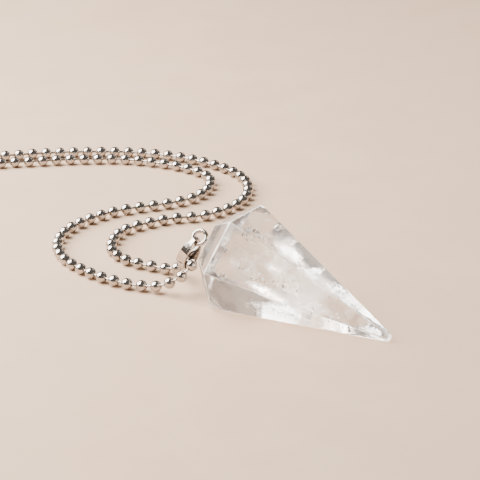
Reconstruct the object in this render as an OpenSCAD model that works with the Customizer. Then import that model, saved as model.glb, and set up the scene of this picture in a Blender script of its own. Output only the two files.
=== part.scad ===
// Pendulum pendant: a faceted quartz point with a drilled end, an eye pin with a
// closed ring, a teardrop bail and a ball chain closed by a snap sleeve.
// Millimetres, +Z up. The stone lies on one of its long facets, and the origin
// is the centre of that facet, on the surface that everything rests on.

/* [Stone] */
// Width of the stone across its flats, at the girdle
stone_flats = 20.2; // [16:0.1:26]
// Length from the girdle to the point where the long facets would meet
point_len = 39.5; // [28:0.1:60]
// Height of the crown, from the girdle to the table
crown_h = 4.2; // [2.5:0.1:8]
// Size of the table, as a share of the girdle
table_share = 0.65; // [0.5:0.01:0.8]
// Length that the blunt tip loses
tip_cut = 3; // [1:0.1:5]
// Heading of the stone's axis on the surface, from tip to table, in degrees
stone_heading = 146.5; // [120:0.5:170]

/* [Eye pin] */
// Diameter of the peg that is glued into the stone
peg_d = 1; // [0.8:0.1:1.6]
// Depth of the drilled hole in the table
peg_hole_depth = 3; // [2.5:0.5:8]
// Diameter of the neck where it stands on the table
neck_d = 1.5; // [1.3:0.1:2.2]
// Diameter of the neck where it meets the ring
neck_top_d = 0.8; // [0.5:0.05:0.9]
// Height of the ring's centre above the table
ring_reach = 4.8; // [4:0.1:8]
// Outer diameter of the ring
ring_d = 3.7; // [3.4:0.1:6]
// Diameter of the ring's wire
ring_wire = 0.9; // [0.6:0.05:1]
// Turn of the ring about the stone's axis, in degrees
ring_turn = 35; // [0:5:60]

/* [Bail] */
// Length of the bail, over all
bail_len = 7.3; // [6.8:0.1:12]
// Outer diameter of the fold that the chain runs through
fold_d = 3.5; // [3.4:0.1:5]
// Distance that the bail's sides bulge out past straight ones
side_bulge = 0.4; // [0.1:0.05:0.6]
// Thickness of the bail's strip
strip_t = 0.35; // [0.3:0.05:0.4]
// Width of the strip where it passes through the ring
strip_top_w = 0.9; // [0.7:0.1:1]
// Width of the strip at its shoulder, just below the ring
strip_shoulder_w = 1.9; // [1.4:0.1:2.2]
// Width of the strip at the fold
strip_fold_w = 2.4; // [1.8:0.1:2.8]
// Distance of the shoulder below the ring's wire
shoulder_drop = 0.8; // [0.6:0.1:2]
// Place on the ring where the bail hangs, in degrees round from the far side
bail_slip = 72; // [55:1:90]
// Lean of the bail about its own width, in degrees
bail_lean = -10; // [-14:1:0]
// Roll of the bail's strip, in degrees
bail_roll = 23; // [15:1:30]
// Heading of the bail's width on the surface, in degrees
bail_heading = -48; // [-60:1:-40]

/* [Ball chain] */
// Diameter of a ball
ball_d = 2.4; // [2:0.1:2.6]
// Distance from ball to ball
ball_pitch = 3.2; // [3:0.05:3.6]
// Thickness of a ball's wall
ball_wall = 0.25; // [0.2:0.01:0.3]
// Diameter of the pin between two balls
pin_d = 0.5; // [0.4:0.05:0.55]
// Diameter of the head that holds a pin in its ball
pin_head_d = 0.95; // [0.9:0.05:1]

/* [Connector] */
// Distance between the centres of the two end balls
end_gap = 4.4; // [3.8:0.1:6]
// Wall of the sleeve
sleeve_wall = 0.35; // [0.3:0.05:0.6]
// Width of the slot that the pins slide along
sleeve_slot = 0.9; // [0.8:0.05:1.4]

/* [Clearances] */
// Gap round the peg, and under the neck, for the glue
glue_gap = 0.1; // [0.05:0.05:0.2]
// Gap between the ring's wire and the inside of the bail
bail_gap = 0.35; // [0.3:0.05:0.45]
// Gap between a pin and the hole that it passes through
pin_gap = 0.1; // [0.1:0.05:0.2]
// Gap between the end balls and the sleeve
sleeve_gap = 0.15; // [0.1:0.05:0.3]

/* [Hidden] */
$fn = 32;

// Stone. Its own frame has the axis along +Z, with the point where the long
// facets would meet at the origin and the resting facet towards -Y.
half_flats = stone_flats / 2;
stone_tilt = atan(half_flats / point_len);
table_z = point_len + crown_h;
// Distance of the resting facet's centre from that point: the centre of a long
// triangle that has lost its tip
facet_reach = 2 / 3 * (point_len ^ 3 - tip_cut ^ 3) / (point_len ^ 2 - tip_cut ^ 2) / cos(stone_tilt);
// Turn of each pair of facets round the axis, in degrees, and its distance from
// the axis as a share of the half width: the cut is by hand, and a little uneven
FACET_TURNS = [-90, -30.5, 30, 90, 150, 210];
FACET_SHARES = [1, 0.98, 1.02, 1.01, 0.98, 1];
cut_size = 3 * stone_flats;
cut_margin = half_flats;

// Ring and bail
ring_z = table_z + ring_reach;
ring_r = (ring_d - ring_wire) / 2;
bail_top_r = ring_wire / 2 + bail_gap + strip_t;
fold_r = fold_d / 2;
// Distance from the ring's wire to the middle of the fold
bail_reach = bail_len - bail_top_r - fold_r;
bail_turn = [bail_lean, bail_roll, bail_heading];
// Radius of the bail's sides, and the centre of the left one: both rounds touch
// it from inside
side_r = bail_reach ^ 2 / (8 * side_bulge) + (bail_top_r + fold_r) / 2;
side_z = ((side_r - fold_r) ^ 2 - (side_r - bail_top_r) ^ 2 - bail_reach ^ 2) / (2 * bail_reach);
side_y = sqrt((side_r - bail_top_r) ^ 2 - side_z ^ 2);
// Where the sides meet the two rounds, in degrees above and below their level
top_meet = atan(-side_z / side_y);
fold_meet = atan((bail_reach + side_z) / side_y);
// Flats that each round and each side of the strip is bent in
arc_steps = 24;

// Chain
ball_r = ball_d / 2;
hollow_r = ball_r - ball_wall;
pin_head_r = pin_head_d / 2;
pin_hole_d = pin_d + 2 * pin_gap;
// Distance of a pin's head from the middle of the ball that holds it
head_place = hollow_r - pin_head_r - pin_gap;

// Sleeve
sleeve_in_r = ball_r + sleeve_gap;
sleeve_r = sleeve_in_r + sleeve_wall;
sleeve_room = end_gap + 2 * sleeve_in_r;
sleeve_len = sleeve_room + 2 * sleeve_wall;
sleeve_window = 2 * sleeve_in_r;
sleeve_lift = sleeve_r - ball_r;

// Points turned about the axes, in the order in which rotate() turns a body
function turn_x(p, a) = [p.x, p.y * cos(a) - p.z * sin(a), p.y * sin(a) + p.z * cos(a)];
function turn_y(p, a) = [p.x * cos(a) + p.z * sin(a), p.y, p.z * cos(a) - p.x * sin(a)];
function turn_z(p, a) = [p.x * cos(a) - p.y * sin(a), p.x * sin(a) + p.y * cos(a), p.z];
function turned(p, r) = turn_z(turn_y(turn_x(p, r.x), r.y), r.z);

// From the stone's own frame to the surface that it lies on
stone_turn = [90 - stone_tilt, 0, 90 + stone_heading];
stone_tip = -facet_reach * [cos(stone_heading), sin(stone_heading), 0];
function on_surface(p) = turned(p, stone_turn) + stone_tip;

// Where the bail hangs on the ring's wire, and the middle of the bail's fold
hang_point = on_surface([
  ring_r * sin(bail_slip) * sin(ring_turn),
  -ring_r * sin(bail_slip) * cos(ring_turn),
  ring_z + ring_r * cos(bail_slip)
]);
hold = hang_point + turned([0, 0, -bail_reach], bail_turn);
hold_lift = hold.z - ball_r;

// Route of the chain: distance in X and Y from the middle of the bail's fold,
// and lift above the surface. It runs out of the bail along the inner strand,
// round the far loop and back along the outer strand.
ROUTE = [
  [-0.5, 0.6, 1.06 * hold_lift],
  [-0.9, 3.4, 0.83 * hold_lift],
  [-0.7, 5.7, 0.45 * hold_lift],
  [-2.1, 7.8, 0.14 * hold_lift],
  [-4.6, 9.6, 0],
  [-7.4, 11, 0],
  [-12.5, 14, 0],
  [-16, 19.5, 0],
  [-16, 26, 0],
  [-14, 31.5, 0],
  [-9.5, 35.5, 0],
  [-4, 38.5, 0],
  [2.5, 40, 0],
  [7.5, 44, 0],
  [11, 49, 0],
  [12.5, 55.5, 0],
  [12, 62, 0],
  [10, 67, 0],
  [6, 72, 0],
  [1, 76, 0],
  [-4.5, 79, 0],
  [-10.5, 81, 0],
  [-17, 82, 0],
  [-26, 82, 0],
  [-36, 81, 0],
  [-43, 79.5, 0],
  [-51.5, 79, 0],
  [-61.5, 81.5, 0],
  [-71.5, 88.5, 0],
  [-82.5, 93.5, 0],
  [-94.5, 93.5, 0],
  [-104.5, 87.5, 0],
  [-109.5, 79, 0],
  [-110.5, 74, sleeve_lift],
  [-110.5, 66.5, sleeve_lift],
  [-110.5, 59, sleeve_lift],
  [-108.5, 55, 0],
  [-102.5, 51, 0],
  [-92.5, 49.5, 0],
  [-80.5, 51.5, 0],
  [-69.5, 58.5, 0],
  [-59.5, 66.5, 0],
  [-50.5, 72, 0],
  [-43, 74.5, 0],
  [-36, 75.5, 0],
  [-30, 76.5, 0],
  [-23.5, 77, 0],
  [-17, 77, 0],
  [-11, 75.5, 0],
  [-5, 73, 0],
  [0, 69.5, 0],
  [3.5, 65, 0],
  [4, 60, 0],
  [3, 55.5, 0],
  [0, 51, 0],
  [-5.5, 47.5, 0],
  [-11, 45.5, 0],
  [-17, 42.5, 0],
  [-22, 38, 0],
  [-25.5, 33, 0],
  [-27.5, 27, 0],
  [-27.5, 20.5, 0],
  [-25.5, 14.5, 0],
  [-22, 9.5, 0],
  [-17.5, 5, 0],
  [-12.1, 1.4, 0],
  [-9, 0.3, 0],
  [-6.1, -0.8, 0.06 * hold_lift],
  [-3.5, -1.8, 0.25 * hold_lift],
  [-1.1, -2.8, 0.54 * hold_lift],
  [1.1, -2, 0.91 * hold_lift]
];
route_points = [for (r = ROUTE) [hold.x + r.x, hold.y + r.y, ball_r + r.z]];
route_n = len(route_points);
route_steps = 8;

// A smooth closed curve through the route's points
function route_point(i) = route_points[(i + route_n) % route_n];
function curve(a, b, c, d, t) =
  0.5 * (2 * b + (c - a) * t + (2 * a - 5 * b + 4 * c - d) * t ^ 2 + (3 * b - a - 3 * c + d) * t ^ 3);
samples = [
  for (i = [0 : route_n - 1], k = [0 : route_steps - 1])
    curve(route_point(i - 1), route_point(i), route_point(i + 1), route_point(i + 2), k / route_steps)
];
sample_n = len(samples);
// Length along the curve at each sample
lengths = [
  for (i = 0, s = 0; i <= sample_n;
    s = s + norm(samples[(i + 1) % sample_n] - samples[i % sample_n]), i = i + 1) s
];
loop_len = lengths[sample_n];
x_along = [for (i = [0 : sample_n]) [lengths[i], samples[i % sample_n].x]];
y_along = [for (i = [0 : sample_n]) [lengths[i], samples[i % sample_n].y]];
z_along = [for (i = [0 : sample_n]) [lengths[i], samples[i % sample_n].z]];
// The place at a length along the curve, never below the surface
function along(s) = [lookup(s, x_along), lookup(s, y_along), max(ball_r, lookup(s, z_along))];

// The balls are counted from the one in the bail, and the ends meet in the sleeve
pitches = round((loop_len - end_gap) / ball_pitch);
pitch = (loop_len - end_gap) / pitches;
last_ball = floor(pitches / 2);
first_ball = last_ball - pitches;
function ball_at(i) = along(i < 0 ? loop_len + i * pitch : i * pitch);
end_a = ball_at(last_ball);
end_b = ball_at(first_ball);

// Turns a child that points along +Z so that it points along v
module aim(v) {
  rotate([0, acos(v.z / norm(v)), atan2(v.y, v.x)]) children();
}

module crystal() {
  color([0.86, 0.85, 0.83, 0.6])
    translate(stone_tip) rotate(stone_turn)
      difference() {
        translate([0, 0, tip_cut]) cylinder(h = table_z - tip_cut, d = 2 * stone_flats);
        for (i = [0 : len(FACET_TURNS) - 1]) {
          facet_r = half_flats * FACET_SHARES[i];
          rotate([0, 0, FACET_TURNS[i]]) {
            // Long facet, from the girdle to the point
            rotate([0, atan(facet_r / point_len), 0])
              translate([0, -cut_size / 2, -cut_margin])
                cube([cut_size, cut_size, 2 * point_len]);
            // Crown facet, from the girdle to the table
            translate([facet_r, 0, point_len])
              rotate([0, -atan((1 - table_share) * facet_r / crown_h), 0])
                translate([0, -cut_size / 2, -cut_margin])
                  cube([cut_size, cut_size, cut_size]);
          }
        }
        translate([0, 0, table_z - peg_hole_depth])
          cylinder(h = 2 * peg_hole_depth, d = peg_d + 2 * glue_gap);
      }
}

module eye_pin() {
  peg_len = peg_hole_depth - 2 * glue_gap;
  neck_h = ring_reach - ring_r - glue_gap;
  color([0.75, 0.74, 0.72])
    translate(stone_tip) rotate(stone_turn) {
      translate([0, 0, table_z + glue_gap - peg_len]) cylinder(h = peg_len + neck_h / 2, d = peg_d);
      translate([0, 0, table_z + glue_gap]) cylinder(h = neck_h, d1 = neck_d, d2 = neck_top_d);
      translate([0, 0, ring_z]) rotate([0, 90, ring_turn])
        rotate_extrude() translate([ring_r, 0]) circle(d = ring_wire);
    }
}

// Points of an arc, without its last one
function arc(middle, r, from, to) = [
  for (k = [0 : arc_steps - 1])
    let (a = from + (to - from) * k / arc_steps)
      middle + r * [cos(a), sin(a)]
];

// Teardrop outline: the small round at the ring, the fold, and between them the
// sides, all drawn in by the inset
module teardrop(inset) {
  polygon(concat(
    arc([0, 0], bail_top_r - inset, top_meet, 180 - top_meet),
    arc([side_y, side_z], side_r - inset, 180 - top_meet, 180 + fold_meet),
    arc([0, -bail_reach], fold_r - inset, 180 + fold_meet, 360 - fold_meet),
    arc([-side_y, side_z], side_r - inset, -fold_meet, top_meet)
  ));
}

module bail() {
  color([0.78, 0.77, 0.75])
    translate(hang_point) rotate(bail_turn)
      intersection() {
        rotate([90, 0, 90])
          linear_extrude(height = 2 * strip_fold_w, center = true)
            difference() {
              teardrop(0);
              teardrop(strip_t);
            }
        rotate([90, 0, 0])
          linear_extrude(height = 2 * fold_d, center = true)
            polygon([
              [-strip_top_w / 2, bail_top_r + strip_t],
              [strip_top_w / 2, bail_top_r + strip_t],
              [strip_top_w / 2, strip_t / 2],
              [strip_shoulder_w / 2, -shoulder_drop],
              [strip_fold_w / 2, -bail_reach],
              [strip_fold_w / 2, -bail_reach - fold_d],
              [-strip_fold_w / 2, -bail_reach - fold_d],
              [-strip_fold_w / 2, -bail_reach],
              [-strip_shoulder_w / 2, -shoulder_drop],
              [-strip_top_w / 2, strip_t / 2]
            ]);
      }
}

// A hollow ball with a hole towards the ball before it. The seams of its spheres
// are turned sideways, away from the hole and the pin.
module ball(here, before, after) {
  seam_turn = 90 + atan2(after.y - before.y, after.x - before.x);
  difference() {
    rotate([0, 0, seam_turn]) sphere(r = ball_r);
    rotate([0, 0, seam_turn]) sphere(r = hollow_r);
    aim(before - here) cylinder(h = ball_d, d = pin_hole_d);
  }
}

// The pin that stands on a ball and is caught by its head in the next one
module pin(here, after) {
  aim(after - here) {
    head_z = norm(after - here) - head_place;
    translate([0, 0, ball_r - ball_wall / 2]) cylinder(h = head_z - ball_r + ball_wall / 2, d = pin_d);
    translate([0, 0, head_z]) sphere(r = pin_head_r);
  }
}

module ball_chain() {
  color([0.72, 0.7, 0.68])
    for (i = [first_ball : last_ball]) {
      here = ball_at(i);
      before = i == first_ball ? end_a : ball_at(i - 1);
      after = i == last_ball ? end_b : ball_at(i + 1);
      translate(here) {
        ball(here, before, after);
        if (i < last_ball) pin(here, after);
      }
    }
}

module connector() {
  color([0.72, 0.7, 0.68])
    translate((end_a + end_b) / 2) aim(end_b - end_a)
      difference() {
        cylinder(h = sleeve_len, r = sleeve_r, center = true);
        cylinder(h = sleeve_room, r = sleeve_in_r, center = true);
        // Bores in the end walls, a slot along the top for the pins, and the
        // window where the balls go in
        cylinder(h = 2 * sleeve_len, d = sleeve_slot, center = true);
        translate([-sleeve_r, 0, 0]) cube([2 * sleeve_r, sleeve_slot, 2 * sleeve_len], center = true);
        translate([-sleeve_r, 0, 0]) cube([2 * sleeve_r, sleeve_window, sleeve_window], center = true);
      }
}

crystal();
eye_pin();
bail();
ball_chain();
connector();
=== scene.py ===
import math
import random

import bmesh
import bpy
from mathutils import Euler, Matrix, Vector, noise


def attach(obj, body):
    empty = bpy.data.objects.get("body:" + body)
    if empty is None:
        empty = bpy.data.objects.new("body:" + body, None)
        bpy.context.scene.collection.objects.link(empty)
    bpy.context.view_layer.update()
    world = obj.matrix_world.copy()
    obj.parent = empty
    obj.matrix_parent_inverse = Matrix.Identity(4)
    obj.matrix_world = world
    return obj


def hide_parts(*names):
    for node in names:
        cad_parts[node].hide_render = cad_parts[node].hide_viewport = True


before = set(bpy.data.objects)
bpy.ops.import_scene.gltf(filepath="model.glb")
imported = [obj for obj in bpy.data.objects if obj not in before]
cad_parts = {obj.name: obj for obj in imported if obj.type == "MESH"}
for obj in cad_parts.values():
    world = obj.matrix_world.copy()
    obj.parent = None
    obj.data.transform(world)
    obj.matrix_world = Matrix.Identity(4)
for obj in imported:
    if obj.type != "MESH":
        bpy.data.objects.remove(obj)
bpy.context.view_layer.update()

# Quartz point
# A point cut by hand from slightly milky quartz: six long facets to a blunt tip,
# six crown facets and a table. Its edges are polished soft, and a hole for the
# eye pin is drilled in the table. It lies on one long facet.
MM = 0.001
STONE_FLATS = 20.2 * MM
POINT_LEN = 39.5 * MM
CROWN_H = 4.2 * MM
TABLE_SHARE = 0.65
TIP_CUT = 3 * MM
STONE_HEADING = math.radians(146.5)
# Turn of each pair of facets, and its distance from the axis as a share
FACET_TURNS = [math.radians(a) for a in (-90, -30.5, 30, 90, 150, 210)]
FACET_SHARES = [1, 0.98, 1.02, 1.01, 0.98, 1]
BROAD_FACET = 2
EDGE_ROUND = 0.22 * MM
HOLE_R = 0.6 * MM
HOLE_DEPTH = 3 * MM
# How white the rounded edges are, as frosting and painted highlight: on the girdle of
# the broad upper facet, within this turn of its middle, the most, mostly as a painted
# highlight of the window; on the rest of the crown; and along the point
GIRDLE_FROST_AND_HIGHLIGHT = 0.85
BROAD_HALF_TURN = math.radians(29)
CROWN_FROST_AND_HIGHLIGHT = 0.4
POINT_FROST_AND_HIGHLIGHT = 0.28
GIRDLE_HALF = 0.5 * MM
# How much of its frosting and painted highlight an edge adds to the body's milk
FROST_AND_HIGHLIGHT_SHARE = 0.8
# Cosine between a face's way and a cut plane's, from which the face lies on it
SAME_WAY = 0.9998
# How milky the body is, and how light its milk is, at shares of the way from the
# tip to the table
MILKINESS = [
    (0, 0.45), (0.14, 0.4), (0.2, 0.1), (0.32, 0.1),
    (0.44, 0.36), (0.68, 0.34), (0.82, 0.46), (1, 0.55),
]
MILK_TONES = [(0.18, (0.26, 0.235, 0.22)), (0.4, (0.46, 0.43, 0.41)), (0.85, (0.2, 0.172, 0.157))]

stone_tilt = math.atan(STONE_FLATS / 2 / POINT_LEN)
table_z = POINT_LEN + CROWN_H
facet_reach = (
    2 / 3 * (POINT_LEN**3 - TIP_CUT**3) / (POINT_LEN**2 - TIP_CUT**2) / math.cos(stone_tilt)
)
stone_turn = Euler((math.pi / 2 - stone_tilt, 0, math.pi / 2 + STONE_HEADING)).to_matrix().to_4x4()
stone_tip = -facet_reach * Vector((math.cos(STONE_HEADING), math.sin(STONE_HEADING), 0))
# From the stone's own frame, with its axis along +Z, to the surface it lies on
stone_place = Matrix.Translation(stone_tip) @ stone_turn
to_own_frame = stone_place.inverted()

# Each plane that the cutter ground: a point on it, and the way it faces
cut_planes = [
    (Vector((0, 0, table_z)), Vector((0, 0, 1))),
    (Vector((0, 0, TIP_CUT)), Vector((0, 0, -1))),
]
for turn, share in zip(FACET_TURNS, FACET_SHARES):
    facet_r = STONE_FLATS / 2 * share
    out = Vector((math.cos(turn), math.sin(turn), 0))
    up = Vector((0, 0, 1))
    lean = math.atan(facet_r / POINT_LEN)
    cut_planes.append((Vector(), out * math.cos(lean) - up * math.sin(lean)))
    lean = math.atan((1 - TABLE_SHARE) * facet_r / CROWN_H)
    cut_planes.append((out * facet_r + up * POINT_LEN, out * math.cos(lean) + up * math.sin(lean)))

bm = bmesh.new()
bmesh.ops.create_cube(bm, size=4 * POINT_LEN)
for point, outward in cut_planes:
    cut = bmesh.ops.bisect_plane(
        bm,
        geom=bm.verts[:] + bm.edges[:] + bm.faces[:],
        plane_co=point,
        plane_no=outward,
        clear_outer=True,
        dist=1e-7,
    )
    rim = [e for e in cut["geom_cut"] if isinstance(e, bmesh.types.BMEdge)]
    bmesh.ops.edgeloop_fill(bm, edges=rim)
bmesh.ops.recalc_face_normals(bm, faces=bm.faces)
bmesh.ops.bevel(
    bm,
    geom=bm.edges[:],
    offset=EDGE_ROUND,
    offset_type="OFFSET",
    affect="EDGES",
    segments=3,
    profile=0.5,
    material=-1,
    clamp_overlap=True,
)
bmesh.ops.transform(bm, matrix=stone_place, verts=bm.verts)


def as_mesh(name, bm):
    """Turns a bmesh into a mesh, and frees it."""
    mesh = bpy.data.meshes.new(name)
    bm.to_mesh(mesh)
    bm.free()
    return mesh


def new_piece(name, bm, material, smooth_angle=None):
    """Turns a bmesh into an object at the origin that carries one material."""
    mesh = as_mesh(name, bm)
    mesh.materials.append(material)
    if smooth_angle is not None:
        mesh.shade_smooth()
        mesh.set_sharp_from_angle(angle=math.radians(smooth_angle))
    piece = bpy.data.objects.new(name, mesh)
    bpy.context.scene.collection.objects.link(piece)
    return piece


def new_finish(name):
    """A new material, its node tree and its main shader."""
    material = bpy.data.materials.new(name)
    material.use_nodes = True
    return material, material.node_tree, material.node_tree.nodes["Principled BSDF"]


def feed(tree, node, inputs):
    """Gives each input a value, or what another node or its output carries."""
    for name, value in inputs.items():
        socket = node.inputs[name]
        if isinstance(value, bpy.types.Node):
            value = value.outputs[0]
        if isinstance(value, bpy.types.NodeSocket):
            tree.links.new(value, socket)
        elif socket.type == "RGBA":
            socket.default_value = (*value, 1)
        else:
            socket.default_value = value


def add_node(tree, kind, inputs=None, **settings):
    """A new shader node of a kind, with its settings and inputs."""
    node = tree.nodes.new("ShaderNode" + kind)
    for name, value in settings.items():
        setattr(node, name, value)
    feed(tree, node, inputs or {})
    return node


def color_ramp(tree, fac, stops):
    """A ramp of colours, from a row of positions and colours."""
    node = add_node(tree, "ValToRGB", {"Fac": fac})
    elements = node.color_ramp.elements
    for element, (position, color) in zip(elements, (stops[0], stops[-1])):
        element.position = position
        element.color = (*color, 1)
    for position, color in stops[1:-1]:
        elements.new(position).color = (*color, 1)
    return node


def own_attribute(tree, name):
    """A number that the mesh carries at each point or face."""
    return add_node(tree, "Attribute", attribute_name=name).outputs["Fac"]


def stone_frame(tree):
    """Object coordinates turned so that the stone's axis runs along Z."""
    place = add_node(tree, "TexCoord").outputs["Object"]
    moved = {"Location": to_own_frame.translation, "Rotation": to_own_frame.to_euler()}
    return add_node(tree, "Mapping", {"Vector": place, **moved})


def clouds(tree, place, scale, detail, low=0, high=1):
    """Soft noise, spread from a low to a high value."""
    rough = add_node(tree, "TexNoise", {"Vector": place, "Scale": scale, "Detail": detail})
    spread = {"From Min": 0.35, "From Max": 0.65, "To Min": low, "To Max": high}
    return add_node(tree, "MapRange", {"Value": rough, **spread}, interpolation_type="SMOOTHSTEP")


def product(tree, a, b):
    """Two shares multiplied, and kept from 0 to 1."""
    return add_node(tree, "Math", {0: a, 1: b}, operation="MULTIPLY", use_clamp=True)


def milk_glow(tree, color):
    """Milk scatters light back, and lets as much through."""
    front = add_node(tree, "BsdfDiffuse", {"Color": color})
    through = add_node(tree, "BsdfTranslucent", {"Color": color})
    return add_node(tree, "AddShader", {0: front, 1: through})


def show(tree, finish):
    """Makes a shader the one that the material shows."""
    feed(tree, tree.nodes["Material Output"], {"Surface": finish})


quartz, tree, clear_quartz = new_finish("quartz")
own_frame = stone_frame(tree)
# Faint waves that hand polishing leaves
waves = clouds(tree, own_frame, scale=260, detail=2)
bump = add_node(tree, "Bump", {"Strength": 0.25, "Distance": 0.06 * MM, "Height": waves})
feed(
    tree,
    clear_quartz,
    {
        "Base Color": (0.93, 0.915, 0.905),
        "Transmission Weight": 1,
        "IOR": 1.544,
        "Roughness": 0.03,
        "Normal": bump,
    },
)
# The body's milk changes along the axis, and is mottled
height = add_node(tree, "SeparateXYZ", {0: own_frame}).outputs["Z"]
from_tip = add_node(tree, "MapRange", {"Value": height, "From Max": table_z})
milkiness = color_ramp(tree, from_tip, [(position, (value,) * 3) for position, value in MILKINESS])
mottle = clouds(tree, own_frame, scale=170, detail=4, low=0.5, high=1.4)
body_milk = product(tree, milkiness, mottle)
# The rounded edges are whitened with frosting and a painted highlight, some stretches more than others
wear = clouds(tree, own_frame, scale=330, detail=3, low=0.45)
frost_and_highlight = product(tree, own_attribute(tree, "edge"), wear)
frost_and_highlight_over_body = {0: frost_and_highlight, 1: FROST_AND_HIGHLIGHT_SHARE, 2: body_milk}
milk_share = add_node(tree, "Math", frost_and_highlight_over_body, operation="MULTIPLY_ADD", use_clamp=True)
# A ray that is already inside meets the polished face from behind, and sees no milk
inner_side = add_node(tree, "NewGeometry").outputs["Backfacing"]
outer_side = add_node(tree, "Math", {0: 1, 1: inner_side}, operation="SUBTRACT")
milk_tone = color_ramp(tree, from_tip, MILK_TONES)
# The edges' white is partly frosting and partly a painted highlight
frosted_and_highlit = {"Fac": frost_and_highlight, "Color1": milk_tone, "Color2": (1.0, 0.99, 0.97)}
milk = milk_glow(tree, add_node(tree, "MixRGB", frosted_and_highlit))
stone_mix = add_node(
    tree,
    "MixShader",
    {0: product(tree, milk_share, outer_side), 1: clear_quartz, 2: milk},
)
# Lamplight passes straight through, freely to the veils and less to the surface below
loss = {"Fac": inner_side, "Color1": (0.42, 0.40, 0.385), "Color2": (0.88, 0.87, 0.86)}
passing = add_node(tree, "BsdfTransparent", {"Color": add_node(tree, "MixRGB", loss)})
to_light = add_node(tree, "LightPath").outputs["Is Shadow Ray"]
show(tree, add_node(tree, "MixShader", {0: to_light, 1: stone_mix, 2: passing}))
stone = new_piece("stone", bm, quartz, smooth_angle=30)

# The drilled hole, by a drill that stands half out of the table
bm = bmesh.new()
bmesh.ops.create_cone(
    bm, cap_ends=True, segments=32, radius1=HOLE_R, radius2=HOLE_R, depth=2 * HOLE_DEPTH
)
bmesh.ops.transform(bm, matrix=stone_place @ Matrix.Translation((0, 0, table_z)), verts=bm.verts)
drill = new_piece("drill", bm, quartz)
drilling = stone.modifiers.new("drilling", "BOOLEAN")
drilling.operation = "DIFFERENCE"
drilling.solver = "EXACT"
drilling.object = drill
bpy.context.view_layer.update()
drilled = bpy.data.meshes.new_from_object(
    stone.evaluated_get(bpy.context.evaluated_depsgraph_get())
)
stone.modifiers.clear()
stone.data = drilled
bpy.data.objects.remove(drill)

# A face that lies on none of the cut planes belongs to a rounded edge. The drilled
# hole does too, but nothing shows there beside the peg.
facings = [stone_turn.to_3x3() @ outward for point, outward in cut_planes]
edge = drilled.attributes.new("edge", "FLOAT", "FACE")
for face in drilled.polygons:
    if max(face.normal.dot(facing) for facing in facings) < SAME_WAY:
        middle = to_own_frame @ face.center
        from_broad = abs(math.atan2(middle.y, middle.x) - FACET_TURNS[BROAD_FACET])
        # The girdle of the broad upper facet takes the most white, a painted highlight where the
        # window's reflection would lie; the rest is frosting with some painted highlight
        if abs(middle.z - POINT_LEN) < GIRDLE_HALF and from_broad < BROAD_HALF_TURN:
            edge.data[face.index].value = GIRDLE_FROST_AND_HIGHLIGHT
        elif middle.z > POINT_LEN - GIRDLE_HALF:
            edge.data[face.index].value = CROWN_FROST_AND_HIGHLIGHT
        else:
            edge.data[face.index].value = POINT_FROST_AND_HIGHLIGHT
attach(stone, "root")
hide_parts("crystal")

# Veils in the quartz
# Healed cracks and milky wisps that grew in the crystal: thin crumpled sheets,
# white where they catch the light, thickest at their middle.
VEIL_DEPTH = 0.35 * MM
CRUMPLE = 0.35
CRUMPLE_RATE = 1.6
WISP_MEAN = 0.62
WISP_SPREAD = 0.9
FAINTEST = 0.02
# Middle in the stone's own frame, in mm; the way that it faces round the axis, in
# degrees; half its width, depth and length, in mm; how dense it is; how many sheets
VEILS = [
    ((0.7, 6.2, 27.9), 90, (2.6, 0.6, 4.4), 1.5, 4),
    ((-0.6, 6.2, 28.2), 90, (1.6, 0.4, 2.8), 1.4, 3),
    ((4.6, 4.5, 28.0), 30, (1.5, 0.5, 2.2), 1.1, 3),
    ((7.0, 0.5, 27.1), 30, (1.2, 0.5, 5.6), 1.4, 4),
    ((4.7, -3.3, 26.4), -30, (2.2, 0.6, 5.4), 0.9, 3),
    ((3.8, 0.2, 19.5), 0, (2.2, 1.4, 6.0), 0.45, 2),
    ((0.4, 4.2, 19.5), 90, (2.2, 1.2, 6.0), 0.5, 3),
    ((0.0, 0.0, 24.0), 60, (4.2, 3.4, 7.0), 0.5, 2),
    ((-2.0, 2.5, 31.5), 60, (4.4, 2.8, 5.4), 0.4, 2),
    ((3.0, 1.0, 35.5), 10, (5.0, 2.4, 3.4), 0.35, 2),
    ((0.0, -4.5, 25.0), -90, (3.6, 1.2, 9.0), 0.5, 2),
]


def held_inside(place, margin):
    """The place, moved in from any cut plane that it is too close to."""
    for point, outward in cut_planes:
        over = (place - point).dot(outward) + margin
        if over > 0:
            place = place - outward * over
    return place


random.seed(11)
bm = bmesh.new()
haze = bm.verts.layers.float.new("haze")
for middle, facing, half, density, sheets in VEILS:
    lie = Matrix.Rotation(math.radians(facing - 90), 3, "Z") @ Matrix.Rotation(-stone_tilt, 3, "X")
    # The sheets fan out about the long way, each crumpled and streaked in its own way
    for k in range(sheets):
        sheet = bmesh.ops.create_grid(bm, x_segments=20, y_segments=20, size=1)["verts"]
        turn = Matrix.Rotation(math.pi * (k + random.uniform(0.2, 0.8)) / sheets, 3, "Z")
        shift = Vector([random.uniform(-9, 9) for axis in range(3)])
        for v in sheet:
            across, length = v.co.x, v.co.y
            swell = noise.fractal(Vector((across, length, 0)) * CRUMPLE_RATE + shift, 0.8, 2.1, 4)
            place = turn @ Vector((across, CRUMPLE * swell, 0))
            place = lie @ Vector((place.x * half[0], place.y * half[1], length * half[2]))
            fade = max(0.0, 1 - across * across - length * length)
            wisp = noise.fractal(Vector((3 * across, 1.2 * length, 5)) + shift, 0.7, 2.2, 5)
            v[haze] = density * fade * max(0.0, min(1.0, WISP_MEAN + WISP_SPREAD * wisp))
            v.co = held_inside((Vector(middle) + place) * MM, VEIL_DEPTH)
bmesh.ops.delete(bm, geom=[v for v in bm.verts if v[haze] < FAINTEST], context="VERTS")
bmesh.ops.transform(bm, matrix=stone_place, verts=bm.verts)

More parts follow.
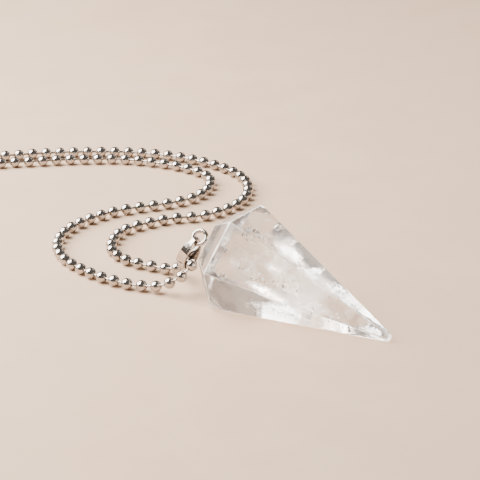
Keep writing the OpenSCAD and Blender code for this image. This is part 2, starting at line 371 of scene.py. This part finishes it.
veil_milk, tree, shader = new_finish("milky_veil")
tree.nodes.remove(shader)
grain = clouds(tree, stone_frame(tree), scale=1600, detail=6, low=0.15)
thickness = product(tree, own_attribute(tree, "haze"), grain)
white = milk_glow(tree, (0.99, 0.985, 0.98))
show(tree, add_node(tree, "MixShader", {0: thickness, 1: add_node(tree, "BsdfTransparent"), 2: white}))
veils = new_piece("quartz_veils", bm, veil_milk, smooth_angle=180)
# They are too thin to throw a shadow of their own
veils.visible_shadow = False
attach(veils, "root")

# Specks in the quartz
# Tiny flakes of other minerals and bubbles that the crystal grew round, grey or
# white, in a few drifts, one of them wide and thin.
SPECK_DEPTH = 0.6 * MM
# Least and most: a speck's half thickness in mm, and its half width and half length
# as shares of that
SPECK_R = (0.07, 0.22)
FLAKE_WIDTH = (0.3, 0.9)
FLAKE_LENGTH = (0.8, 2.6)
SPECK_WHITE = (0.95, 0.94, 0.93)
SPECK_GREY = (0.03, 0.025, 0.02)
# Middle and half sizes of each drift in the stone's own frame, in mm, and how many
DRIFTS = [
    ((9.4, 0.0, 35.2), (1.2, 0.7, 1.8), 120),
    ((3.2, 7.9, 35.2), (1.6, 0.7, 2.0), 120),
    ((-2.6, 6.8, 33.0), (1.5, 0.6, 1.8), 40),
    ((0.6, 6.2, 28.5), (1.8, 0.4, 3.6), 50),
    ((6.4, 2.2, 29.0), (1.4, 1.4, 5.5), 60),
    ((4.6, -4.2, 31.0), (1.8, 0.7, 2.4), 60),
    ((4.2, -3.6, 25.0), (1.8, 0.6, 4.0), 40),
    ((2.0, 1.0, 20.0), (3.0, 2.4, 7.0), 60),
]
random.seed(23)
bm = bmesh.new()
shade = bm.verts.layers.float.new("shade")
for middle, half, count in DRIFTS:
    for k in range(count):
        flake = bmesh.ops.create_icosphere(bm, subdivisions=1, radius=1)["verts"]
        size = random.uniform(*SPECK_R) * MM
        width = size * random.uniform(*FLAKE_WIDTH)
        shape = Matrix.Diagonal((size, width, size * random.uniform(*FLAKE_LENGTH)))
        turn = Euler([random.uniform(0, math.pi) for axis in range(3)]).to_matrix()
        spot = Vector([m + h * random.uniform(-1, 1) for m, h in zip(middle, half)])
        spot = held_inside(spot * MM, SPECK_DEPTH)
        greyness = random.random()
        for v in flake:
            v.co = spot + turn @ shape @ v.co
            v[shade] = greyness
bmesh.ops.transform(bm, matrix=stone_place, verts=bm.verts)

mineral, tree, shader = new_finish("mineral_specks")
tones = color_ramp(tree, own_attribute(tree, "shade"), [(0.4, SPECK_WHITE), (0.6, SPECK_GREY)])
feed(tree, shader, {"Base Color": tones, "Roughness": 0.3})
specks = new_piece("quartz_specks", bm, mineral)
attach(specks, "root")

# Eye pin
# One piece of polished steel: a short peg glued in the hole, a neck that tapers
# from the table, and a closed round ring soldered to it.
PEG_R = 0.5 * MM
PEG_CHAMFER = 0.1 * MM
FOOT_ROUND = 0.08 * MM
NECK_R = 0.75 * MM
NECK_TOP_R = 0.4 * MM
GLUE_GAP = 0.1 * MM
RING_REACH = 4.8 * MM
RING_D = 3.7 * MM
RING_WIRE = 0.9 * MM
RING_TURN = math.radians(35)
RING_COLOR = (0.58, 0.52, 0.48)
# How light clouded metal is as a share, and how close points are that are merged
CLOUDED = 0.9
MERGE_WITHIN = 1e-6
ring_z = table_z + RING_REACH
ring_r = (RING_D - RING_WIRE) / 2
foot_z = table_z + GLUE_GAP
peg_end = table_z - HOLE_DEPTH + GLUE_GAP
neck_end = ring_z - ring_r


def full_turn(bm, steps):
    """Spins a line about Z into a closed skin."""
    bmesh.ops.spin(
        bm,
        geom=bm.verts[:] + bm.edges[:],
        cent=(0, 0, 0),
        axis=(0, 0, 1),
        angle=2 * math.pi,
        steps=steps,
        use_merge=True,
    )
    bmesh.ops.remove_doubles(bm, verts=bm.verts, dist=MERGE_WITHIN)
    bmesh.ops.recalc_face_normals(bm, faces=bm.faces)


def lathe(profile, steps):
    """Turns a part on a lathe, from a few points of radius and height."""
    bm = bmesh.new()
    points = [bm.verts.new((r, 0, z)) for r, z in profile]
    for pair in zip(points, points[1:]):
        bm.edges.new(pair)
    full_turn(bm, steps)
    return bm


def polished_metal(name, color, roughness, speck_scale):
    """Polished steel with faint clouding, and the small marks of handling."""
    material, tree, shader = new_finish(name)
    place = add_node(tree, "TexCoord").outputs["Object"]
    tint = {"Color1": color, "Color2": [CLOUDED * part for part in color]}
    tint["Fac"] = clouds(tree, place, scale=speck_scale / 3, detail=3)
    marks = clouds(tree, place, scale=3 * speck_scale, detail=2)
    relief = {"Strength": 0.05, "Distance": 0.01 * MM, "Height": marks}
    feed(
        tree,
        shader,
        {
            "Metallic": 1,
            "Base Color": add_node(tree, "MixRGB", tint),
            "Roughness": clouds(tree, place, speck_scale, 6, *roughness),
            "Normal": add_node(tree, "Bump", relief),
        },
    )
    return material


bm = lathe(
    [
        (0, peg_end),
        (PEG_R - PEG_CHAMFER, peg_end),
        (PEG_R, peg_end + PEG_CHAMFER),
        (PEG_R, foot_z),
        (NECK_R - FOOT_ROUND, foot_z),
        (NECK_R, foot_z + FOOT_ROUND),
        (NECK_R - 0.05 * MM, foot_z + 0.4 * MM),
        (NECK_TOP_R + 0.12 * MM, foot_z + 1.6 * MM),
        (NECK_TOP_R, neck_end - 0.5 * MM),
        (NECK_TOP_R + 0.06 * MM, neck_end - 0.15 * MM),
        (NECK_TOP_R + 0.1 * MM, neck_end),
        (0, neck_end),
    ],
    steps=24,
)
ring = bmesh.new()
bmesh.ops.create_circle(ring, segments=20, radius=RING_WIRE / 2)
bmesh.ops.rotate(ring, verts=ring.verts, matrix=Matrix.Rotation(math.pi / 2, 3, "X"))
bmesh.ops.translate(ring, verts=ring.verts, vec=(ring_r, 0, 0))
full_turn(ring, steps=64)
bmesh.ops.transform(
    ring,
    matrix=Matrix.Translation((0, 0, ring_z))
    @ Euler((0, math.pi / 2, RING_TURN)).to_matrix().to_4x4(),
    verts=ring.verts,
)
ring_mesh = as_mesh("ring", ring)
bm.from_mesh(ring_mesh)
bpy.data.meshes.remove(ring_mesh)
bmesh.ops.transform(bm, matrix=stone_place, verts=bm.verts)
ring_metal = polished_metal("ring_metal", RING_COLOR, roughness=(0.04, 0.12), speck_scale=900)
eye_pin = new_piece("eye_pin_polished", bm, ring_metal, smooth_angle=50)
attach(eye_pin, "root")
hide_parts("eye_pin")

# Bail
# A closed teardrop bent from flat steel strip, narrow where it hangs in the ring
# and wide at the fold that the chain runs through, with bulging sides.
BAIL_LEN = 7.3 * MM
FOLD_R = 1.75 * MM
SIDE_BULGE = 0.4 * MM
STRIP_T = 0.35 * MM
STRIP_TOP_W = 0.9 * MM
STRIP_SHOULDER_W = 1.9 * MM
STRIP_FOLD_W = 2.4 * MM
SHOULDER_DROP = 0.8 * MM
STRIP_EDGE_ROUND = 0.09 * MM
BAIL_GAP = 0.35 * MM
BAIL_SLIP = math.radians(72)
BAIL_TURN = [math.radians(a) for a in (-10, 23, -48)]
BAIL_COLOR = (0.56, 0.50, 0.455)
bail_top_r = RING_WIRE / 2 + BAIL_GAP + STRIP_T
bail_reach = BAIL_LEN - bail_top_r - FOLD_R
hang_point = stone_place @ Vector(
    (
        ring_r * math.sin(BAIL_SLIP) * math.sin(RING_TURN),
        -ring_r * math.sin(BAIL_SLIP) * math.cos(RING_TURN),
        ring_z + ring_r * math.cos(BAIL_SLIP),
    )
)
bail_turn = Euler(BAIL_TURN).to_matrix()
hold = hang_point + bail_turn @ Vector((0, 0, -bail_reach))

# Both rounds of the teardrop touch the sides from inside
side_r = bail_reach**2 / (8 * SIDE_BULGE) + (bail_top_r + FOLD_R) / 2
side_z = ((side_r - FOLD_R) ** 2 - (side_r - bail_top_r) ** 2 - bail_reach**2) / (2 * bail_reach)
side_y = math.sqrt((side_r - bail_top_r) ** 2 - side_z**2)
top_meet = math.atan(-side_z / side_y)
fold_meet = math.atan((bail_reach + side_z) / side_y)


def strip_half_width(z):
    """The strip widens fast to its shoulder, then slowly to the fold."""
    if z > STRIP_T / 2:
        return STRIP_TOP_W / 2
    if z > -SHOULDER_DROP:
        share = (STRIP_T / 2 - z) / (STRIP_T / 2 + SHOULDER_DROP)
        return (STRIP_TOP_W + (STRIP_SHOULDER_W - STRIP_TOP_W) * share) / 2
    share = min(1, (-SHOULDER_DROP - z) / (bail_reach - SHOULDER_DROP))
    return (STRIP_SHOULDER_W + (STRIP_FOLD_W - STRIP_SHOULDER_W) * share) / 2


# Four arcs, each with its middle, radius, first and last angle, and steps
bm = bmesh.new()
outline = []
for y, z, r, start, end, steps in (
    (0, 0, bail_top_r, top_meet, math.pi - top_meet, 14),
    (side_y, side_z, side_r, math.pi - top_meet, math.pi + fold_meet, 22),
    (0, -bail_reach, FOLD_R, math.pi + fold_meet, 2 * math.pi - fold_meet, 20),
    (-side_y, side_z, side_r, -fold_meet, top_meet, 22),
):
    for k in range(steps):
        a = start + (end - start) * k / steps
        outline.append(bm.verts.new((0, y + r * math.cos(a), z + r * math.sin(a))))
line = [bm.edges.new((outline[k - 1], outline[k])) for k in range(len(outline))]
far_edge = bmesh.ops.extrude_edge_only(bm, edges=line)["geom"]
for v in outline:
    v.co.x = -strip_half_width(v.co.z)
for v in far_edge:
    if isinstance(v, bmesh.types.BMVert):
        v.co.x = strip_half_width(v.co.z)
bmesh.ops.recalc_face_normals(bm, faces=bm.faces)
bm.faces.ensure_lookup_table()
inner = Vector((0, 0, -bail_reach / 2))
if bm.faces[0].normal.dot(bm.faces[0].calc_center_median() - inner) < 0:
    bmesh.ops.reverse_faces(bm, faces=bm.faces)
bmesh.ops.transform(
    bm, matrix=Matrix.Translation(hang_point) @ bail_turn.to_4x4(), verts=bm.verts
)
bail_metal = polished_metal("bail_metal", BAIL_COLOR, roughness=(0.07, 0.14), speck_scale=700)
bail = new_piece("bail_strip", bm, bail_metal, smooth_angle=50)
wall = bail.modifiers.new("strip", "SOLIDIFY")
wall.thickness = STRIP_T
wall.offset = -1
soften = bail.modifiers.new("soft_edges", "BEVEL")
soften.width = STRIP_EDGE_ROUND
soften.segments = 3
soften.limit_method = "ANGLE"
soften.angle_limit = math.radians(50)
soften.harden_normals = True
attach(bail, "root")
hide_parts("bail")

# Ball chain
# Hollow balls rolled from steel strip and linked by short pins that end inside
# each ball. One whole loop: out of the bail, round, and back.
BALL_R = 1.2 * MM
BALL_STEPS = 8
BALL_PITCH = 3.2 * MM
PIN_R = 0.25 * MM
PIN_HOLE_R = 0.35 * MM
PIN_START = 0.9 * MM
RIM_DEPTH = 0.15 * MM
RIM_TURN_IN = 0.04 * MM
END_GAP = 4.4 * MM
SLEEVE_R = 1.7 * MM
CHAIN_COLOR = (0.53, 0.48, 0.44)
hold_lift = hold.z - BALL_R
sleeve_lift = SLEEVE_R - BALL_R
# Distance in X and Y from the middle of the fold, in mm, and the lift above the
# surface as a share of the fold's, or as the sleeve's
ROUTE = [
    (-0.5, 0.6, 1.06), (-0.9, 3.4, 0.83), (-0.7, 5.7, 0.45), (-2.1, 7.8, 0.14),
    (-4.6, 9.6, 0), (-7.4, 11, 0), (-12.5, 14, 0), (-16, 19.5, 0), (-16, 26, 0),
    (-14, 31.5, 0), (-9.5, 35.5, 0), (-4, 38.5, 0), (2.5, 40, 0), (7.5, 44, 0), (11, 49, 0),
    (12.5, 55.5, 0), (12, 62, 0), (10, 67, 0), (6, 72, 0), (1, 76, 0), (-4.5, 79, 0),
    (-10.5, 81, 0), (-17, 82, 0), (-26, 82, 0), (-36, 81, 0), (-43, 79.5, 0),
    (-51.5, 79, 0), (-61.5, 81.5, 0), (-71.5, 88.5, 0), (-82.5, 93.5, 0), (-94.5, 93.5, 0),
    (-104.5, 87.5, 0), (-109.5, 79, 0), (-110.5, 74, "sleeve"), (-110.5, 66.5, "sleeve"),
    (-110.5, 59, "sleeve"), (-108.5, 55, 0), (-102.5, 51, 0), (-92.5, 49.5, 0),
    (-80.5, 51.5, 0), (-69.5, 58.5, 0), (-59.5, 66.5, 0), (-50.5, 72, 0), (-43, 74.5, 0),
    (-36, 75.5, 0), (-30, 76.5, 0), (-23.5, 77, 0), (-17, 77, 0), (-11, 75.5, 0),
    (-5, 73, 0), (0, 69.5, 0), (3.5, 65, 0), (4, 60, 0), (3, 55.5, 0), (0, 51, 0),
    (-5.5, 47.5, 0), (-11, 45.5, 0), (-17, 42.5, 0), (-22, 38, 0), (-25.5, 33, 0),
    (-27.5, 27, 0), (-27.5, 20.5, 0), (-25.5, 14.5, 0), (-22, 9.5, 0), (-17.5, 5, 0),
    (-12.1, 1.4, 0), (-9, 0.3, 0), (-6.1, -0.8, 0.06), (-3.5, -1.8, 0.25),
    (-1.1, -2.8, 0.54), (1.1, -2, 0.91),
]
# Steps from each point of the route to the next, on a smooth curve that the points
# before and after bend
ROUTE_STEPS = 8
route = []
for dx, dy, lift in ROUTE:
    z = BALL_R + (sleeve_lift if lift == "sleeve" else lift * hold_lift)
    route.append(Vector((hold.x + dx * MM, hold.y + dy * MM, z)))
samples = []
for i in range(len(route)):
    a, b, c, d = (route[(i + k) % len(route)] for k in (-1, 0, 1, 2))
    for k in range(ROUTE_STEPS):
        t = k / ROUTE_STEPS
        bend = (2 * a - 5 * b + 4 * c - d) * t**2 + (3 * b - a - 3 * c + d) * t**3
        samples.append(0.5 * (2 * b + (c - a) * t + bend))
samples.append(samples[0])
lengths = [0.0]
for a, b in zip(samples, samples[1:]):
    lengths.append(lengths[-1] + (b - a).length)


def along(distance):
    """The place at a distance along the route, never below the surface."""
    k = 1
    while k < len(lengths) - 1 and lengths[k] < distance:
        k += 1
    share = (distance - lengths[k - 1]) / (lengths[k] - lengths[k - 1])
    place = samples[k - 1].lerp(samples[k], share)
    place.z = max(BALL_R, place.z)
    return place


pitches = round((lengths[-1] - END_GAP) / BALL_PITCH)
pitch = (lengths[-1] - END_GAP) / pitches
last_ball = pitches // 2
# Every ball in turn, from the one end in the sleeve to the other
balls = [
    along(lengths[-1] + i * pitch if i < 0 else i * pitch)
    for i in range(last_ball - pitches, last_ball + 1)
]

# A ball, with the turned-in rim of its hole at each end, and a pin of unit length
rim_angle = math.asin(PIN_HOLE_R / BALL_R)
rim_z = BALL_R * math.cos(rim_angle)
skin = [(0, -rim_z + RIM_DEPTH), (PIN_HOLE_R - RIM_TURN_IN, -rim_z + RIM_DEPTH)]
for k in range(BALL_STEPS + 1):
    a = -math.pi / 2 + rim_angle + (math.pi - 2 * rim_angle) * k / BALL_STEPS
    skin.append((BALL_R * math.cos(a), BALL_R * math.sin(a)))
skin += [(PIN_HOLE_R - RIM_TURN_IN, rim_z - RIM_DEPTH), (0, rim_z - RIM_DEPTH)]
ball = as_mesh("ball", lathe(skin, steps=16))
bm = bmesh.new()
bmesh.ops.create_cone(bm, cap_ends=True, segments=8, radius1=PIN_R, radius2=PIN_R, depth=1)
bmesh.ops.translate(bm, verts=bm.verts, vec=(0, 0, 0.5))
pin = as_mesh("pin", bm)


def add_copy(bm, shape, place):
    """Adds a mesh to a bmesh at its place."""
    copy = shape.copy()
    copy.transform(place)
    bm.from_mesh(copy)
    bpy.data.meshes.remove(copy)


def turned_to(way):
    """The turn that brings +Z round to a direction."""
    return way.to_track_quat("Z", "Y").to_matrix().to_4x4()


random.seed(7)
bm = bmesh.new()
for i, here in enumerate(balls):
    after = balls[(i + 1) % len(balls)]
    spin = Matrix.Rotation(random.uniform(0, math.pi), 4, "Z")
    add_copy(bm, ball, Matrix.Translation(here) @ turned_to(after - balls[i - 1]) @ spin)
    if i < len(balls) - 1:
        run = after - here
        stretch = Matrix.Diagonal((1, 1, run.length - 2 * PIN_START, 1))
        start = Matrix.Translation(here + run.normalized() * PIN_START)
        add_copy(bm, pin, start @ turned_to(run) @ stretch)
bpy.data.meshes.remove(ball)
bpy.data.meshes.remove(pin)
chain_metal = polished_metal("chain_metal", CHAIN_COLOR, roughness=(0.09, 0.17), speck_scale=800)
chain = new_piece("ball_chain_links", bm, chain_metal, smooth_angle=50)
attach(chain, "root")
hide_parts("ball_chain")

# Connector
# The sleeve that closes the loop, rolled from the same steel strip: the two end
# balls snap in through its window.
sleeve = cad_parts["connector"]
sleeve.data.materials.clear()
sleeve.data.materials.append(chain_metal)

# Surface
# A plain pale surface with a faint mottle, so wide that no view finds its edge. It
# lies a hair below the stone and the chain, so that neither sinks into it.
SURFACE_HALF = 4
SURFACE_DROP = 0.02 * MM
SURFACE_COLORS = {"Color1": (0.63, 0.44, 0.302), "Color2": (0.65, 0.46, 0.32)}
pale, tree, shader = new_finish("pale_surface")
surface_mottle = clouds(tree, add_node(tree, "TexCoord").outputs["Object"], scale=60, detail=5)
feed(
    tree,
    shader,
    {
        "Roughness": 0.85,
        "Specular IOR Level": 0.25,
        "Base Color": add_node(tree, "MixRGB", {"Fac": surface_mottle, **SURFACE_COLORS}),
    },
)
bm = bmesh.new()
bmesh.ops.create_grid(bm, x_segments=1, y_segments=1, size=SURFACE_HALF)
bmesh.ops.translate(bm, verts=bm.verts, vec=(0, 0, -SURFACE_DROP))
surface = new_piece("surface", bm, pale)

# Light
# One very large soft light high on the left, a weak fill from the right, and a
# dim room round them for the metal to mirror, brightest towards the window.
GLOW_WAY = (-0.66, 0.18, 0.73)
ROOM = [(0.72, (0.18, 0.17, 0.16)), (1, (0.50, 0.48, 0.45))]


def soft_light(name, place, side, power, color):
    """A wide square lamp that faces the stone."""
    data = bpy.data.lights.new(name, "AREA")
    data.shape = "RECTANGLE"
    data.size = data.size_y = side
    data.energy = power
    data.color = color
    light = bpy.data.objects.new(name, data)
    light.location = place
    light.rotation_euler = (-Vector(place)).to_track_quat("-Z", "Y").to_euler()
    bpy.context.scene.collection.objects.link(light)


soft_light("window", (-0.276, 0.072, 0.28), side=0.42, power=9.6, color=(1.0, 0.975, 0.945))
soft_light("fill", (0.5, 0.6, 0.6), side=0.5, power=0.8, color=(1.0, 0.97, 0.94))
world = bpy.data.worlds.new("studio")
world.use_nodes = True
bpy.context.scene.world = world
tree = world.node_tree
way_out = add_node(tree, "TexCoord").outputs["Generated"]
to_window = add_node(tree, "VectorMath", {0: way_out, 1: GLOW_WAY}, operation="DOT_PRODUCT")
room = color_ramp(tree, to_window.outputs["Value"], ROOM)
feed(tree, tree.nodes["Background"], {"Color": room, "Strength": 1.0})

# Camera
# A long lens in front of the stone, which looks down on it and on the chain at the
# angle of the photograph.
CAMERA_PLACE = (-8.375 * MM, -435.55 * MM, 186.39 * MM)
LOOK_DOWN = math.radians(21.4)
camera_data = bpy.data.cameras.new("camera")
camera_data.lens = 180
camera_data.sensor_width = 36
camera_data.clip_start = 0.01
camera_data.clip_end = 20
camera = bpy.data.objects.new("camera", camera_data)
camera.location = CAMERA_PLACE
camera.rotation_euler = (math.pi / 2 - LOOK_DOWN, 0, 0)
bpy.context.scene.collection.objects.link(camera)
bpy.context.scene.camera = camera
